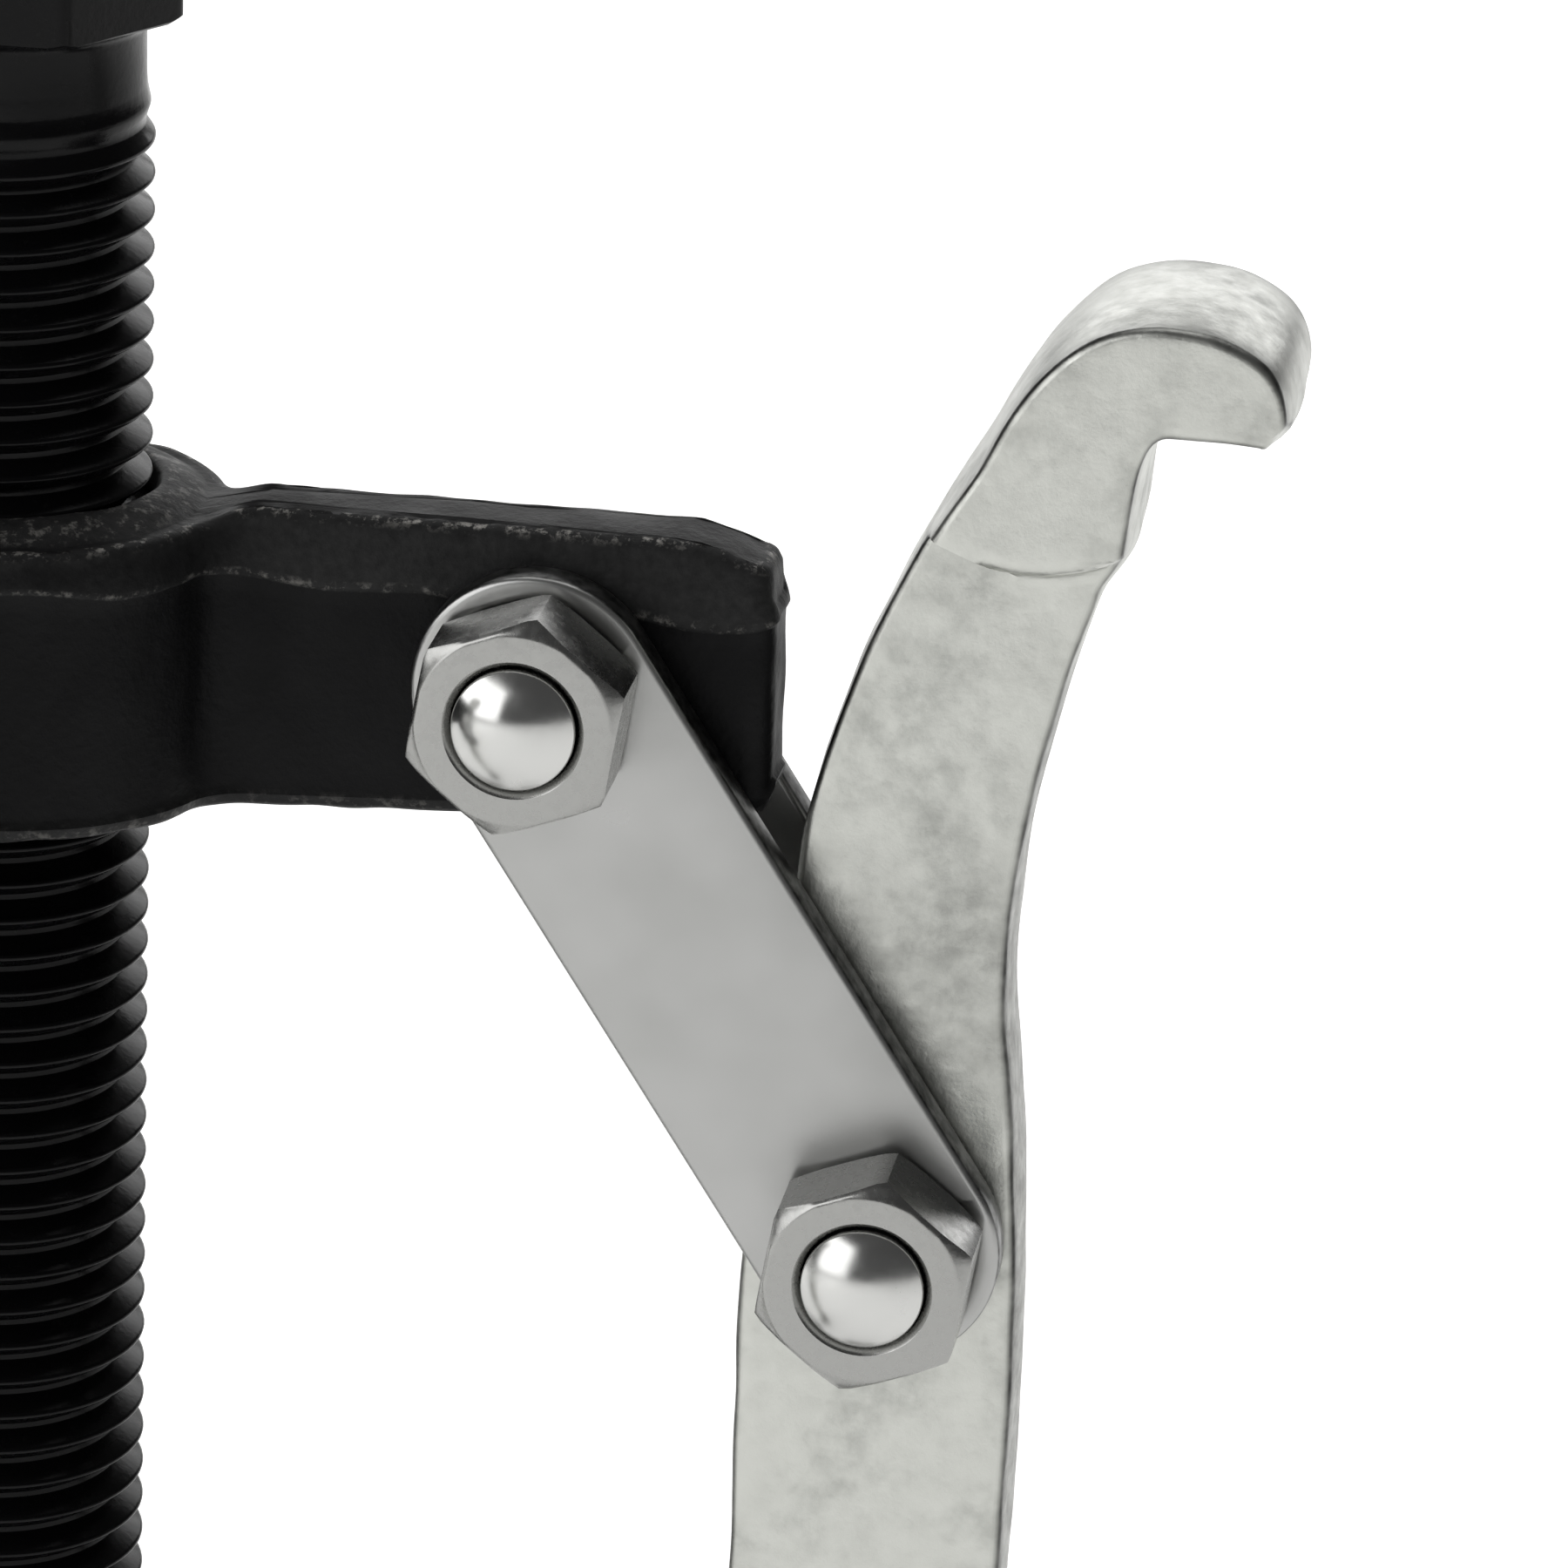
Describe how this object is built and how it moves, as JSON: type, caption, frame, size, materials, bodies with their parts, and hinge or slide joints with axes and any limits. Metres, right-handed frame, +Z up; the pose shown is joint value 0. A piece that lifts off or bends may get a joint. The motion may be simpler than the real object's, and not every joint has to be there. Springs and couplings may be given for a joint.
{
  "type": "gear puller",
  "caption": "Reversible jaw puller: a forged yoke with a forcing screw through its hub, and strap links that carry double-ended hooked jaws.",
  "frame": {"origin": "centre of the pressure tip's end face, on the forcing screw's axis", "axes": "+Z up the forcing screw to its hexagon head; +X outward along arm 1"},
  "size_m": [0.1316, 0.1516, 0.2137],
  "materials": {
    "black_screw": "black oxide, satin",
    "hardened_tip": "ground, hardened steel",
    "black_forging": "black oxide over a forged skin",
    "plated_strap": "satin zinc plate on rolled strip",
    "plated_jaw": "satin zinc plate over a forged skin",
    "bright_fastener": "bright zinc plate"
  },
  "bodies": {
    "yoke": {"yoke": "black_forging"},
    "pressure_tip": {"pressure_tip": "hardened_tip"},
    "forcing_screw": {"forcing_screw": "black_screw"},
    "links_1": {"strap_1_nut_side": "plated_strap", "strap_1_head_side": "plated_strap", "upper_bolt_1": "bright_fastener", "upper_nut_1": "bright_fastener", "lower_bolt_1": "bright_fastener", "lower_nut_1": "bright_fastener"},
    "jaw_1": {"jaw_1": "plated_jaw"},
    "links_2": {"strap_2_nut_side": "plated_strap", "strap_2_head_side": "plated_strap", "upper_bolt_2": "bright_fastener", "upper_nut_2": "bright_fastener", "lower_bolt_2": "bright_fastener", "lower_nut_2": "bright_fastener"},
    "jaw_2": {"jaw_2": "plated_jaw"},
    "links_3": {"strap_3_nut_side": "plated_strap", "strap_3_head_side": "plated_strap", "upper_bolt_3": "bright_fastener", "upper_nut_3": "bright_fastener", "lower_bolt_3": "bright_fastener", "lower_nut_3": "bright_fastener"},
    "jaw_3": {"jaw_3": "plated_jaw"}
  },
  "joints": [
    {"name": "screw_travel", "type": "slide", "parent": "yoke", "child": "pressure_tip", "axis": [0, 0, 1], "range_m": [-0.03, 0.11]},
    {"name": "screw_turn", "type": "hinge", "parent": "pressure_tip", "child": "forcing_screw", "pos_m": [0, 0, 0.1], "axis": [0, 0, 1], "range_deg": [-4400, 15900]},
    {"name": "link_swing_1", "type": "hinge", "parent": "yoke", "child": "links_1", "pos_m": [0.0356, 0, 0.131], "axis": [0, -1, 0], "range_deg": [-5, 60]},
    {"name": "jaw_swing_1", "type": "hinge", "parent": "links_1", "child": "jaw_1", "pos_m": [0.05921, 0, 0.09506], "axis": [0, 1, 0], "range_deg": [-2, 12]},
    {"name": "link_swing_2", "type": "hinge", "parent": "yoke", "child": "links_2", "pos_m": [-0.0178, 0.03083, 0.131], "axis": [0.866, 0.5, 0], "range_deg": [-5, 60]},
    {"name": "jaw_swing_2", "type": "hinge", "parent": "links_2", "child": "jaw_2", "pos_m": [-0.0296, 0.05128, 0.09506], "axis": [-0.866, -0.5, 0], "range_deg": [-2, 12]},
    {"name": "link_swing_3", "type": "hinge", "parent": "yoke", "child": "links_3", "pos_m": [-0.0178, -0.03083, 0.131], "axis": [-0.866, 0.5, 0], "range_deg": [-5, 60]},
    {"name": "jaw_swing_3", "type": "hinge", "parent": "links_3", "child": "jaw_3", "pos_m": [-0.0296, -0.05128, 0.09506], "axis": [0.866, -0.5, 0], "range_deg": [-2, 12]}
  ],
  "couplings": [
    {"joint": "screw_turn", "follows": "screw_travel", "rad_per_m": 2513.3}
  ]
}
